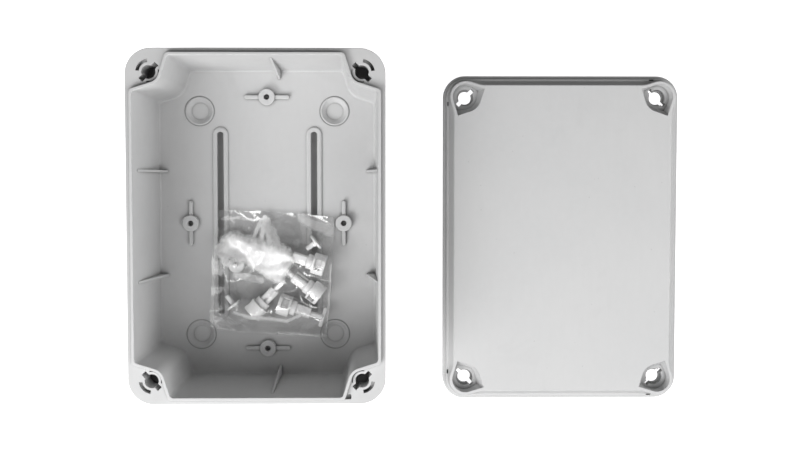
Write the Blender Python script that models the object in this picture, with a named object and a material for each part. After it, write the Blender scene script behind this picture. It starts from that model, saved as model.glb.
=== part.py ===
"""Electrical junction box: an open base, its lift-off lid with a sealing ring, and a clear bag that
holds the quarter-turn lid fasteners and the hole plugs.

Sizes are in millimetres and every mesh is written in metres. +Z points out of the base's mouth, and
the origin is the centre of the base's underside. The lid lies beside the base, outer face up.
"""

import math

import bpy
from mathutils import Matrix, Vector

MM = 0.001
GAP = 0.3  # free space kept between pieces that touch

# Driving dimensions
WIDTH = 228.0  # flange, along X
LENGTH = 314.0  # flange, along Y
FLANGE_TOP = 102.0
LID_HEIGHT = 22.0
LID_CENTRE = (283.6, -15.0)
HOLE_INSET = 21.0  # fastener hole, in from both outer edges
DRAFT = math.tan(math.radians(2.0))

# Base
FLANGE_DEPTH = 6.0
FLANGE_CORNER = 23.0
FLANGE_LIP = 3.7  # how far the flange stands out over the wall
TONGUE_OUTER = 4.1  # tongue faces, in from the flange's edge
TONGUE_INNER = 6.7
TONGUE_TOP = 106.5
TURRET_RADIUS = 9.5  # tongue's outer face, round the fastener hole
TURRET_SLANT = math.radians(17.5)
TURRET_FILLET = 4.0
FLOOR_TOP = 12.0
FLOOR_THICK = 3.0
COVE = 2.5  # rounding where the walls meet the floor
SKIRT_THICK = 3.0

# Features of the floor
BOSS_SPACING = (147.0, 242.0)
BOSS_RADIUS = 7.8
BOSS_TOP = 18.0
BOSS_HOLE_RADIUS = 2.7
BOSS_RIB = (43.0, 3.6, 16.0)  # length, width, top
WELL_SPACING = (129.5, 215.5)
WELL_RADIUS = 12.2
WELL_FOOT_RADIUS = 8.8  # the well's wall slopes in to this
WELL_FLOOR = 8.4
WELL_DISC_RADIUS = 8.2
WELL_DISC_FLOOR = 7.6
SLOT_SPACING = 90.0
SLOT_SIZE = (6.0, 176.0)
SLOT_BORDER = 4.6
SLOT_BORDER_TOP = 14.0
SLOT_FLOOR = 1.6
SLOT_WIDE = 2.2  # how much further out the slot reaches under its lips, on every side
SLOT_LIP_FOOT = 10.5
FIN_REACH = 9.0  # wall gusset, out from the foot of the wall
FIN_TOP = 90.0
FIN_THICK = 2.0
LONG_WALL_FINS = (-50.0, 50.0)
SHORT_WALL_FIN = 12.0

# Fastener holes
KEYHOLE_RADIUS = 6.15
KEYHOLE_TIP = 10.0
KEYHOLE_WING = 4.6
COLLAR_FOOT = 80.0  # the T end turns below this
COLUMN_RADIUS = 9.9
COLUMN_FLOOR = 66.0
CRESCENT = (8.3, 11.4, 12.0)  # inner radius, outer radius and depth of the slot outside each hole
CRESCENT_REACH = math.radians(39)
COLLAR_GROOVE = (8.3, 9.2, 3.0)
COLLAR_GROOVE_REACH = math.radians(58)
POCKET_CENTRE = (34.0, 6.5)  # in from both outer edges, beside one hole only
POCKET_DEPTH = 5.0
CENTRE_PAD_RADIUS = 12.0

# Lid
SKIRT_HEIGHT = 7.0
PANEL_INSET = 10.6
WELL_BULGE = 3.9
BULGE_RUN = 17.0
LID_WELL_TIP = (-7.6, 18.2)  # from the hole's centre
LID_WELL_MOUTH = (12.5, 14.8)  # radii of the outer and the inner bow at the panel
LID_WELL_FOOT_TIP = (-6.6, 12.4)
LID_WELL_FOOT = (12.0, 10.8)
LID_WELL_DISC_RADIUS = 8.0
LID_WELL_FLOOR = 3.0
LID_WELL_STEP = 8.5
LID_KEYHOLE = (10.4, 3.8)  # tip and wing
GROOVE_ROOF = 6.6
LID_CORE = (14.6, 17.6, 5.8)  # radii and height of the hollow outside each fastener well
# Small slots in the ledge: which corner, and how far in from its two edges
LEDGE_SLOTS = (((-1, 1), (4.3, 27.3)), ((-1, -1), (4.3, 27.3)), ((1, 1), (27.3, 4.3)), ((1, -1), (27.3, 4.3)))
GASKET_FOOT = 4.8

# Fastener, along its own axis from the T end
T_BAR = (18.6, 2.6, 3.2)
STEM_RADIUS = 2.5
SHANK_START = 14.0
SHANK_WIDTH = 9.4
HUB_START = 28.5
HUB_RADIUS = 7.2
DRUM_START = 34.0
DRUM_RADIUS = 10.2
FASTENER_LENGTH = 46.0
WINDOW_HALF = 5.2  # half the width of the two windows in the drum
WINDOW_DEPTH = 4.2  # their floors, from the axis

# Plug
PLUG_RADIUS = 7.75
PLUG_HEAD = 2.2
PLUG_STEM_RADIUS = 2.3
PLUG_LENGTH = 12.5

# Bag
BAG_CENTRE = (5.0, -48.0)
BAG_HALF = (58.0, 60.0)
BAG_TURN = math.radians(-3.5)
BAG_FOOT = SLOT_BORDER_TOP + 0.6
BAG_HEIGHT = 24.0
FILM = 0.6
AXIS_HEIGHT = BAG_FOOT + FILM + 0.5 + DRUM_RADIUS

# Each fastener: middle of its drum, the way its T end points (degrees from +X), and its roll
FASTENERS = (
    ((50.0, -39.0), 163.0, 0.0),
    ((47.0, -66.0), 143.0, 35.0),
    ((-10.0, -82.0), 46.0, 90.0),
    ((17.0, -78.0), -18.0, 20.0),
)
# Each plug: middle of its head, the way its stem points, and whether it lies on its side
PLUGS = (
    ((48.0, -17.0), 218.0, True),
    ((-31.0, -79.0), 127.0, True),
    ((-30.0, -40.0), 0.0, False),
    ((-8.0, -26.0), 0.0, False),
)


# ---------------------------------------------------------------- outlines


def arc(centre, radius, start, end, steps):
    """Points of an arc, both ends included."""
    turn = (end - start) / steps
    angles = [start + turn * i for i in range(steps + 1)]
    return [(centre[0] + radius * math.cos(a), centre[1] + radius * math.sin(a)) for a in angles]


def circle(centre, radius, steps=24):
    return arc(centre, radius, 0.0, math.tau, steps)[:-1]


def rounded(corners, steps):
    """A closed outline through (x, y, radius) corners, each rounded to its radius."""
    points = []
    for i, (x, y, radius) in enumerate(corners):
        here = Vector((x, y))
        before = (Vector(corners[i - 1][:2]) - here).normalized()
        after = (Vector(corners[(i + 1) % len(corners)][:2]) - here).normalized()
        half = before.angle(after) / 2
        centre = here + (before + after).normalized() * (radius / math.sin(half))
        reach = radius / math.tan(half)
        first = here + before * reach - centre
        last = here + after * reach - centre
        start = math.atan2(first.y, first.x)
        turn = (math.atan2(last.y, last.x) - start + math.pi) % math.tau - math.pi
        points += arc(centre, radius, start, start + turn, steps)
    return points


def rounded_box(half_x, half_y, radius, centre=(0.0, 0.0), steps=6):
    corners = [(1, 1), (-1, 1), (-1, -1), (1, -1)]
    return rounded([(centre[0] + sx * half_x, centre[1] + sy * half_y, radius) for sx, sy in corners], steps)


def in_corner(points, corner):
    """Points measured inward from a corner's two outer edges, placed in one of the four corners."""
    return [(corner[0] * (WIDTH / 2 - p[0]), corner[1] * (LENGTH / 2 - p[1])) + tuple(p[2:]) for p in points]


CORNERS = ((1, 1), (-1, 1), (-1, -1), (1, -1))


def around(corner_points):
    """Joins the four corners' points into one anticlockwise loop."""
    loop = []
    for corner in CORNERS:
        placed = in_corner(corner_points, corner)
        loop += placed if corner[0] * corner[1] > 0 else placed[::-1]
    return loop


def turret_outline(side, radius, fillet=TURRET_FILLET):
    """Outline that runs along the sides and round the inner side of the four fastener holes."""
    slant = math.sin(TURRET_SLANT)
    rise = math.cos(TURRET_SLANT)
    far = HOLE_INSET + (radius - (side - HOLE_INSET) * slant) / rise
    apex = HOLE_INSET + radius / (slant + rise)
    corner = [(side, far, fillet), (apex, apex, radius), (far, side, fillet)]
    return rounded(around(corner), 4)


def flange_outline(inset, corner_radius=FLANGE_CORNER):
    return rounded_box(WIDTH / 2 - inset, LENGTH / 2 - inset, max(corner_radius - inset, 2.0))


def lid_outline(inset, bulge):
    """Outline of the lid at one height, swelling by bulge round each fastener well."""
    hole = (HOLE_INSET, HOLE_INSET)
    blend = [1.0, 0.75, 0.5, 0.25]
    side = []
    for t in blend:
        swell = bulge * (1 - t * t * (3 - 2 * t))
        side.append((inset - swell, HOLE_INSET + t * BULGE_RUN))
    bow = arc(hole, HOLE_INSET - inset + bulge, math.pi, 1.5 * math.pi, 8)
    corner = side + bow + [(y, x) for x, y in reversed(side)]
    return around(corner)


def apex_on_diagonal(tip, radius, way):
    """How far from the hole's centre the tangent from tip to a circle crosses the diagonal."""
    bearing = math.atan2(tip[1], tip[0]) + way * math.acos(radius / math.hypot(*tip))
    return radius / (math.cos(bearing) + math.sin(bearing))


def lid_well_outline(corner, outer_radius, inner_radius, tip):
    outer = HOLE_INSET + apex_on_diagonal(tip, outer_radius, 1)
    inner = HOLE_INSET + apex_on_diagonal(tip, inner_radius, -1)
    tip_x = HOLE_INSET + tip[0]
    tip_y = HOLE_INSET + tip[1]
    outline = [
        (tip_x, tip_y, 0.6),
        (outer, outer, outer_radius),
        (tip_y, tip_x, 0.6),
        (inner, inner, inner_radius),
    ]
    return rounded(in_corner(outline, corner), 5)


def hole_centre(corner):
    return in_corner([(HOLE_INSET, HOLE_INSET)], corner)[0]


def outward(corner):
    """Angle of the corner's diagonal, pointing out of the box."""
    return math.atan2(corner[1], corner[0])


def keyhole(corner, tip, wing):
    """A round hole with two wings across the corner's diagonal."""
    centre = hole_centre(corner)
    half = math.asin(wing / 2 / KEYHOLE_RADIUS)
    points = []
    for side in (1, -1):
        along = outward(corner) + side * math.pi / 2
        way = Vector((math.cos(along), math.sin(along)))
        across = Vector((-way.y, way.x)) * wing / 2
        foot = Vector(centre) + way * tip
        points += [tuple(foot - across), tuple(foot + across)]
        points += arc(centre, KEYHOLE_RADIUS, along + half, along + math.pi - half, 7)
    return points


def arc_slot(corner, low_radius, high_radius, middle, half_angle, steps=8):
    centre = hole_centre(corner)
    outer = arc(centre, high_radius, middle - half_angle, middle + half_angle, steps)
    inner = arc(centre, low_radius, middle + half_angle, middle - half_angle, steps)
    return outer + inner


# ---------------------------------------------------------------- solids


def anticlockwise(loop):
    area = sum(a[0] * b[1] - b[0] * a[1] for a, b in zip(loop, loop[1:] + loop[:1]))
    return loop if area > 0 else loop[::-1]


def loft(levels):
    """(points, faces) of a closed solid through (outline, height) levels, lowest first."""
    points = []
    for outline, height in levels:
        points += [(x, y, height) for x, y in anticlockwise(outline)]
    count = len(levels[0][0])
    faces = [list(range(count))[::-1], list(range(len(points) - count, len(points)))]
    for level in range(len(levels) - 1):
        base = level * count
        for i in range(count):
            j = (i + 1) % count
            faces.append([base + i, base + j, base + count + j, base + count + i])
    return points, faces


def prism(outline, low, high):
    return loft([(outline, low), (outline, high)])


def ring(outer, inner, low, high):
    """A closed band between two outlines of the same number of points."""
    count = len(outer)
    points = [(x, y, z) for outline, z in ((outer, low), (outer, high), (inner, high), (inner, low)) for x, y in outline]
    faces = []
    for side in range(4):
        here = side * count
        there = (side + 1) % 4 * count
        for i in range(count):
            j = (i + 1) % count
            faces.append([here + i, here + j, there + j, there + i])
    return points, faces


def box(low, high):
    outline = [(low[0], low[1]), (high[0], low[1]), (high[0], high[1]), (low[0], high[1])]
    return prism(outline, low[2], high[2])


def joined(solids):
    """Several separate solids as one list of points and faces."""
    points = []
    faces = []
    for solid_points, solid_faces in solids:
        faces += [[i + len(points) for i in face] for face in solid_faces]
        points += solid_points
    return points, faces


def add_object(name, solid, origin=(0.0, 0.0, 0.0)):
    """A new object from (points, faces) in millimetres."""
    points, faces = solid
    mesh = bpy.data.meshes.new(name)
    mesh.from_pydata([Vector(p) * MM for p in points], [], faces)
    mesh.validate()
    thing = bpy.data.objects.new(name, mesh)
    thing.location = Vector(origin) * MM
    bpy.context.scene.collection.objects.link(thing)
    return thing


def boolean(target, operation, name, solids):
    """Adds to or cuts from target, with a hidden helper object."""
    helper = add_object(f"{target.name}_{name}", joined(solids))
    helper.hide_render = True
    helper.display_type = "WIRE"
    helper.matrix_world = target.matrix_world.copy()
    step = target.modifiers.new(name, "BOOLEAN")
    step.operation = operation
    step.object = helper


def finish(thing, material):
    thing.data.materials.append(material)
    thing.data.shade_smooth()
    thing.data.set_sharp_from_angle(angle=math.radians(30))
    return thing


def plastic(name, colour, roughness, alpha=1.0):
    material = bpy.data.materials.new(name)
    material.use_nodes = True
    shader = material.node_tree.nodes["Principled BSDF"]
    shader.inputs["Base Color"].default_value = (*colour, 1.0)
    shader.inputs["Roughness"].default_value = roughness
    shader.inputs["Metallic"].default_value = 0.0
    shader.inputs["Alpha"].default_value = alpha
    return material


# ---------------------------------------------------------------- base


def base_block():
    """The outer body: a drafted wall, and the flange round its mouth."""
    lip_foot = FLANGE_TOP - FLANGE_DEPTH
    foot_inset = FLANGE_LIP + lip_foot * DRAFT
    edge = 0.6
    return loft(
        [
            (flange_outline(foot_inset + edge), 0.0),
            (flange_outline(foot_inset), edge),
            (flange_outline(FLANGE_LIP), lip_foot),
            (flange_outline(edge), lip_foot),
            (flange_outline(0.0), lip_foot + edge),
            (flange_outline(0.0), FLANGE_TOP - edge),
            (flange_outline(edge), FLANGE_TOP),
        ]
    )


def cavity():
    """The inside of the box, with drafted walls and a rounded foot."""
    deepest = (TONGUE_TOP - FLOOR_TOP) * DRAFT
    corner = TURRET_RADIUS + TONGUE_INNER - TONGUE_OUTER
    levels = []
    for part in (0, 1, 2, 3):
        angle = math.pi / 2 * part / 3
        inward = deepest + COVE * (1 - math.sin(angle))
        height = FLOOR_TOP + COVE * (1 - math.cos(angle))
        levels.append((turret_outline(TONGUE_INNER + inward, corner + inward), height))
    levels.append((turret_outline(TONGUE_INNER, corner), TONGUE_TOP + 1))
    return loft(levels)


def floor_pads():
    """Everything that stands above or below the floor and joins it: bosses, slot borders and feet."""
    pads = [prism(circle((0, 0), CENTRE_PAD_RADIUS), 0.0, FLOOR_TOP - 1)]
    for side in (-1, 1):
        centre = (side * SLOT_SPACING / 2, 0.0)
        half_x = SLOT_SIZE[0] / 2 + SLOT_BORDER
        half_y = SLOT_SIZE[1] / 2 + SLOT_BORDER
        pads.append(prism(rounded_box(half_x, half_y, half_x - 0.1, centre), 0.0, SLOT_BORDER_TOP))
    for centre in boss_centres():
        pads.append(prism(circle(centre, BOSS_RADIUS), FLOOR_TOP - 2, BOSS_TOP))
    for centre in well_centres():
        pads.append(prism(circle(centre, WELL_RADIUS + 3), 0.0, FLOOR_TOP - 0.5))
    return pads


def boss_centres():
    half_x = BOSS_SPACING[0] / 2
    half_y = BOSS_SPACING[1] / 2
    return ((half_x, 0.0), (0.0, half_y), (-half_x, 0.0), (0.0, -half_y))


def well_centres():
    return [(sx * WELL_SPACING[0] / 2, sy * WELL_SPACING[1] / 2) for sx, sy in CORNERS]


def boss_ribs():
    length, width, top = BOSS_RIB
    ribs = []
    for x, y in boss_centres():
        half_x, half_y = (width / 2, length / 2) if x else (length / 2, width / 2)
        ribs.append(box((x - half_x, y - half_y, FLOOR_TOP - 1), (x + half_x, y + half_y, top)))
    return ribs


def wall_fins():
    """Thin triangular gussets between the walls and the floor."""
    foot = FLOOR_TOP - 1
    sunk = 1.5  # how deep a gusset's back lies in the wall
    foot_inset = TONGUE_INNER + (TONGUE_TOP - foot) * DRAFT
    top_inset = TONGUE_INNER + (TONGUE_TOP - FIN_TOP) * DRAFT
    profile = (
        (foot_inset - sunk, foot),
        (foot_inset + FIN_REACH, foot),
        (top_inset + 0.4, FIN_TOP),
        (top_inset - sunk, FIN_TOP),
    )
    fins = []
    for along in LONG_WALL_FINS:
        fins += [fin(profile, (side, 0), along) for side in (-1, 1)]
    fins += [fin(profile, (0, side), SHORT_WALL_FIN) for side in (-1, 1)]
    return fins


def fin(profile, wall, along):
    """A plate with its profile measured inward from one wall's flange edge."""
    points = []
    for offset in (-FIN_THICK / 2, FIN_THICK / 2):
        for inset, height in profile:
            if wall[0]:
                points.append((wall[0] * (WIDTH / 2 - inset), along + offset, height))
            else:
                points.append((along + offset, wall[1] * (LENGTH / 2 - inset), height))
    faces = [[0, 1, 2, 3], [7, 6, 5, 4], [0, 4, 5, 1], [1, 5, 6, 2], [2, 6, 7, 3], [3, 7, 4, 0]]
    if wall[0] < 0 or wall[1] > 0:
        faces = [face[::-1] for face in faces]
    return points, faces


def base_recess():
    """The hollow under the floor, inside the skirt and clear of the fastener columns."""
    inset = FLANGE_LIP + FLANGE_TOP * DRAFT + SKIRT_THICK
    outline = turret_outline(inset, TURRET_RADIUS + inset - TONGUE_OUTER)
    return prism(outline, -1.0, FLOOR_TOP - FLOOR_THICK)


def base_openings():
    """Slots, wells, boss holes, keyholes and the small pockets of the platforms, none overlapping."""
    cuts = []
    for side in (-1, 1):
        centre = (side * SLOT_SPACING / 2, 0.0)
        outline = rounded_box(SLOT_SIZE[0] / 2, SLOT_SIZE[1] / 2, SLOT_SIZE[0] / 2 - 0.1, centre, 4)
        cuts.append(prism(outline, SLOT_FLOOR, SLOT_BORDER_TOP + 1))
    for centre in well_centres():
        slope = (WELL_RADIUS - WELL_FOOT_RADIUS) / (FLOOR_TOP - WELL_FLOOR)
        above = 1.0
        mouth = circle(centre, WELL_RADIUS + above * slope)
        cuts.append(loft([(circle(centre, WELL_FOOT_RADIUS), WELL_FLOOR), (mouth, FLOOR_TOP + above)]))
        cuts.append(prism(circle(centre, WELL_RADIUS), -1.0, WELL_DISC_FLOOR - 2.0))
    for centre in boss_centres():
        cuts.append(prism(circle(centre, BOSS_HOLE_RADIUS, 16), FLOOR_TOP - 2, BOSS_TOP + 1))
    for corner in CORNERS:
        cuts.append(prism(keyhole(corner, KEYHOLE_TIP, KEYHOLE_WING), COLLAR_FOOT - 1, FLANGE_TOP + 1))
        out = outward(corner)
        low_radius, high_radius, depth = CRESCENT
        crescent = arc_slot(corner, low_radius, high_radius, out, CRESCENT_REACH)
        cuts.append(prism(crescent, FLANGE_TOP - depth, FLANGE_TOP + 1))
        low_radius, high_radius, depth = COLLAR_GROOVE
        groove = arc_slot(corner, low_radius, high_radius, out + math.pi, COLLAR_GROOVE_REACH)
        cuts.append(prism(groove, FLANGE_TOP - depth, FLANGE_TOP + 0.5))
        cuts.append(prism(circle(hole_centre(corner), COLUMN_RADIUS - 0.6, 22), -1.0, COLUMN_FLOOR - 4))
    pocket = in_corner([POCKET_CENTRE], (1, -1))[0]
    cuts.append(prism(rounded_box(3.4, 2.3, 1.0, pocket, 3), FLANGE_TOP - POCKET_DEPTH, FLANGE_TOP + 1))
    return cuts


def base_deeper_openings():
    """Cuts that open into the first ones: the slots' wide parts, the wells' discs and the spaces for the T ends."""
    cuts = []
    for side in (-1, 1):
        half_x = SLOT_SIZE[0] / 2 + SLOT_WIDE
        half_y = SLOT_SIZE[1] / 2 + SLOT_WIDE
        outline = rounded_box(half_x, half_y, half_x - 0.1, (side * SLOT_SPACING / 2, 0.0), 4)
        cuts.append(prism(outline, SLOT_FLOOR - 0.2, SLOT_LIP_FOOT))
    for centre in well_centres():
        cuts.append(prism(circle(centre, WELL_DISC_RADIUS), WELL_DISC_FLOOR, WELL_FLOOR + 1))
    for corner in CORNERS:
        cuts.append(prism(circle(hole_centre(corner), COLUMN_RADIUS), COLUMN_FLOOR, COLLAR_FOOT))
    return cuts


def make_base(material):
    base = add_object("base_box", base_block())
    corner = TURRET_RADIUS
    tongue = prism(turret_outline(TONGUE_OUTER, corner), FLANGE_TOP - 2, TONGUE_TOP)
    boolean(base, "UNION", "tongue", [tongue])
    boolean(base, "DIFFERENCE", "cavity", [cavity()])
    boolean(base, "DIFFERENCE", "recess", [base_recess()])
    boolean(base, "UNION", "pads", floor_pads())
    boolean(base, "UNION", "ribs", boss_ribs())
    boolean(base, "UNION", "fins", wall_fins())
    boolean(base, "DIFFERENCE", "openings", base_openings())
    boolean(base, "DIFFERENCE", "deeper_openings", base_deeper_openings())
    return finish(base, material)


# ---------------------------------------------------------------- lid and seal


def lid_block():
    """The stepped side and the flat panel, swelling round each fastener well."""
    profile = (
        (0.4, 0.0, 0.0),
        (0.0, 0.4, 0.0),
        (0.0, SKIRT_HEIGHT, 0.0),
        (0.8, SKIRT_HEIGHT + 0.8, 0.0),
        (2.8, SKIRT_HEIGHT + 1.2, 0.2),
        (3.2, 12.2, 0.4),
        (5.4, 13.2, 1.2),
        (8.8, 19.8, 3.2),
        (9.5, LID_HEIGHT - 0.6, 3.7),
        (PANEL_INSET, LID_HEIGHT, WELL_BULGE),
    )
    return loft([(lid_outline(inset, bulge), height) for inset, height, bulge in profile])


def lid_hollow():
    """The underside's hollow, inside the groove's inner wall."""
    levels = ((9.2, 14.6, -1.0), (9.4, 14.8, 7.0), (12.2, 17.6, 19.0))
    return loft([(turret_outline(side, radius), height) for side, radius, height in levels])


def lid_groove():
    outer = turret_outline(TONGUE_OUTER - 0.5, TURRET_RADIUS - 0.5)
    inner = turret_outline(TONGUE_INNER + 0.5, TURRET_RADIUS + TONGUE_INNER - TONGUE_OUTER + 0.5)
    return ring(outer, inner, -1.0, GROOVE_ROOF)


def lid_openings():
    cuts = []
    for corner in CORNERS:
        low = lid_well_outline(corner, *LID_WELL_FOOT, LID_WELL_FOOT_TIP)
        high = lid_well_outline(corner, *LID_WELL_MOUTH, LID_WELL_TIP)
        cuts.append(loft([(low, LID_WELL_STEP), (high, LID_HEIGHT + 0.3)]))
        low_radius, high_radius, top = LID_CORE
        core = arc_slot(corner, low_radius, high_radius, outward(corner), math.radians(70), 12)
        cuts.append(prism(core, -1.0, top))
    for corner, (x, y) in LEDGE_SLOTS:
        centre = in_corner([(x, y)], corner)[0]
        half_x, half_y = (0.7, 2.1) if x < y else (2.1, 0.7)
        cuts.append(box((centre[0] - half_x, centre[1] - half_y, 9.5), (centre[0] + half_x, centre[1] + half_y, 16.0)))
    return cuts


def lid_deeper_openings():
    """The round floor of each fastener well."""
    cuts = []
    for corner in CORNERS:
        disc = circle(hole_centre(corner), LID_WELL_DISC_RADIUS)
        cuts.append(prism(disc, LID_WELL_FLOOR, LID_WELL_STEP + 1))
    return cuts


def make_lid(material):
    lid = add_object("lid", lid_block(), (*LID_CENTRE, 0.0))
    bpy.context.view_layer.update()
    boolean(lid, "DIFFERENCE", "hollow", [lid_hollow()])
    boolean(lid, "DIFFERENCE", "groove", [lid_groove()])
    boolean(lid, "DIFFERENCE", "openings", lid_openings())
    boolean(lid, "DIFFERENCE", "deeper_openings", lid_deeper_openings())
    keyholes = [prism(keyhole(corner, *LID_KEYHOLE), -1.0, LID_WELL_STEP + 0.5) for corner in CORNERS]
    boolean(lid, "DIFFERENCE", "keyholes", keyholes)
    return finish(lid, material)


def make_gasket(material):
    outer = turret_outline(TONGUE_OUTER - 0.2, TURRET_RADIUS - 0.2)
    inner = turret_outline(TONGUE_INNER + 0.2, TURRET_RADIUS + TONGUE_INNER - TONGUE_OUTER + 0.2)
    seal = ring(outer, inner, GASKET_FOOT, GROOVE_ROOF - GAP)
    return finish(add_object("lid_gasket", seal, (*LID_CENTRE, 0.0)), material)


# ---------------------------------------------------------------- bag and its contents


def make_bag(material):
    """The film of the bag, open along its upper edge."""
    half_x, half_y = BAG_HALF
    centre = (0.0, 0.0)
    shape = ((3.0, 0.0), (0.0, 2.5), (0.0, 20.0), (4.0, BAG_HEIGHT))

    def skin(shrink):
        levels = []
        for inset, height in shape:
            outline = rounded_box(half_x - inset - shrink, half_y - inset - shrink, 20.0, centre, 5)
            levels.append((outline, BAG_FOOT + min(max(height, shrink), BAG_HEIGHT - shrink)))
        return loft(levels)

    bag = add_object("polybag", skin(0.0), (*BAG_CENTRE, 0.0))
    bag.rotation_euler = (0.0, 0.0, BAG_TURN)
    bpy.context.view_layer.update()
    boolean(bag, "DIFFERENCE", "inside", [skin(FILM)])
    mouth = box((-36.0, half_y - 10.0, BAG_FOOT + 6.0), (36.0, half_y + 2.0, BAG_FOOT + 16.0))
    boolean(bag, "DIFFERENCE", "mouth", [mouth])
    return finish(bag, material)


def shank_outline():
    """A chamfered square with a groove along two faces."""
    half = SHANK_WIDTH / 2
    chamfer = 1.2
    groove = 1.0
    deep = 1.2
    side = [
        (half, -half + chamfer),
        (half, -groove),
        (half - deep, -groove),
        (half - deep, groove),
        (half, groove),
        (half, half - chamfer),
        (half - chamfer, half),
    ]
    return side + [(-half + chamfer, half)] + [(-x, -y) for x, y in side] + [(half - chamfer, -half)]


def fastener_mesh():
    """One quarter-turn fastener, lying along +Z with the T end at zero."""
    length, width, depth = T_BAR
    bar = box((-length / 2, -width / 2, 0.0), (length / 2, width / 2, depth))
    fastener = add_object("fastener_shape", bar)
    drum = loft(
        [
            (circle((0, 0), DRUM_RADIUS - 0.8), DRUM_START),
            (circle((0, 0), DRUM_RADIUS), DRUM_START + 0.8),
            (circle((0, 0), DRUM_RADIUS), FASTENER_LENGTH - 0.8),
            (circle((0, 0), DRUM_RADIUS - 0.8), FASTENER_LENGTH),
        ]
    )
    boolean(fastener, "UNION", "stem", [prism(circle((0, 0), STEM_RADIUS, 12), depth - 1.5, SHANK_START + 2)])
    boolean(fastener, "UNION", "shank", [prism(shank_outline(), SHANK_START, HUB_START + 1)])
    boolean(fastener, "UNION", "hub", [prism(circle((0, 0), HUB_RADIUS), HUB_START, DRUM_START + 1)])
    boolean(fastener, "UNION", "drum", [drum])
    low = DRUM_START + 2.0
    high = FASTENER_LENGTH - 3.2
    window = box((-WINDOW_HALF, -DRUM_RADIUS - 1, low), (WINDOW_HALF, -WINDOW_DEPTH, high))
    window_back = box((-WINDOW_HALF, WINDOW_DEPTH, low), (WINDOW_HALF, DRUM_RADIUS + 1, high))
    driver_slot = box((-6.0, -0.8, FASTENER_LENGTH - 2.4), (6.0, 0.8, FASTENER_LENGTH + 1))
    boolean(fastener, "DIFFERENCE", "windows", [window, window_back, driver_slot])
    return fastener


def make_fasteners(material):
    """The lid's four fasteners, lying in the bag, each with its origin on its own axis."""
    pattern = fastener_mesh()
    bpy.context.view_layer.update()
    graph = bpy.context.evaluated_depsgraph_get()
    mesh = bpy.data.meshes.new_from_object(pattern.evaluated_get(graph))
    pattern.hide_render = True
    pattern.display_type = "WIRE"
    drum_middle = (DRUM_START + FASTENER_LENGTH) / 2
    for number, (place, bearing, roll) in enumerate(FASTENERS, 1):
        way = Vector((math.cos(math.radians(bearing)), math.sin(math.radians(bearing)), 0.0))
        fastener = bpy.data.objects.new(f"lid_fastener_{number}", mesh.copy())
        tip = Vector((*place, AXIS_HEIGHT)) + way * drum_middle
        turn = (-way).to_track_quat("Z", "Y").to_matrix() @ Matrix.Rotation(math.radians(roll), 3, "Z")
        fastener.matrix_world = Matrix.Translation(tip * MM) @ turn.to_4x4()
        bpy.context.scene.collection.objects.link(fastener)
        finish(fastener, material)


def plug_solid():
    """A thin round head with a stem that closes a screw hole."""
    levels = [
        (circle((0, 0), PLUG_RADIUS - 0.5), 0.0),
        (circle((0, 0), PLUG_RADIUS), 0.5),
        (circle((0, 0), PLUG_RADIUS), PLUG_HEAD),
        (circle((0, 0), PLUG_STEM_RADIUS), PLUG_HEAD),
        (circle((0, 0), PLUG_STEM_RADIUS), PLUG_LENGTH - 1),
        (circle((0, 0), PLUG_STEM_RADIUS - 0.7), PLUG_LENGTH),
    ]
    return loft(levels)


def make_plugs(material):
    for number, (place, bearing, on_side) in enumerate(PLUGS, 1):
        plug = add_object(f"hole_plug_{number}", plug_solid())
        lift = BAG_FOOT + FILM + 0.4
        if on_side:
            way = Vector((math.cos(math.radians(bearing)), math.sin(math.radians(bearing)), 0.0))
            turn = way.to_track_quat("Z", "Y").to_matrix().to_4x4()
            lift += PLUG_RADIUS
        else:
            turn = Matrix.Identity(4)
        plug.matrix_world = Matrix.Translation(Vector((*place, lift)) * MM) @ turn
        finish(plug, material)


# ---------------------------------------------------------------- the whole object


def main():
    for old in list(bpy.data.objects):
        bpy.data.objects.remove(old)
    shell = plastic("light_grey_thermoplastic", (0.56, 0.56, 0.57), 0.5)
    moulded = plastic("light_grey_nylon", (0.72, 0.72, 0.72), 0.4)
    foam = plastic("seal_foam", (0.12, 0.12, 0.12), 0.9)
    film = plastic("clear_film", (0.95, 0.95, 0.95), 0.15, 0.25)
    make_base(shell)
    make_lid(shell)
    make_gasket(foam)
    make_bag(film)
    make_fasteners(moulded)
    make_plugs(moulded)


main()
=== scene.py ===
"""Looks of the electrical junction box: an open base, its lid lying beside it, and a clear bag of lid
fasteners and hole plugs in the base.

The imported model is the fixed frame. Shapes below are in millimetres, in the frame's own axes, and every
mesh is written in metres.
"""

import math

import bpy
import numpy as np
from mathutils import Matrix, Vector, noise
from mathutils.bvhtree import BVHTree


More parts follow.
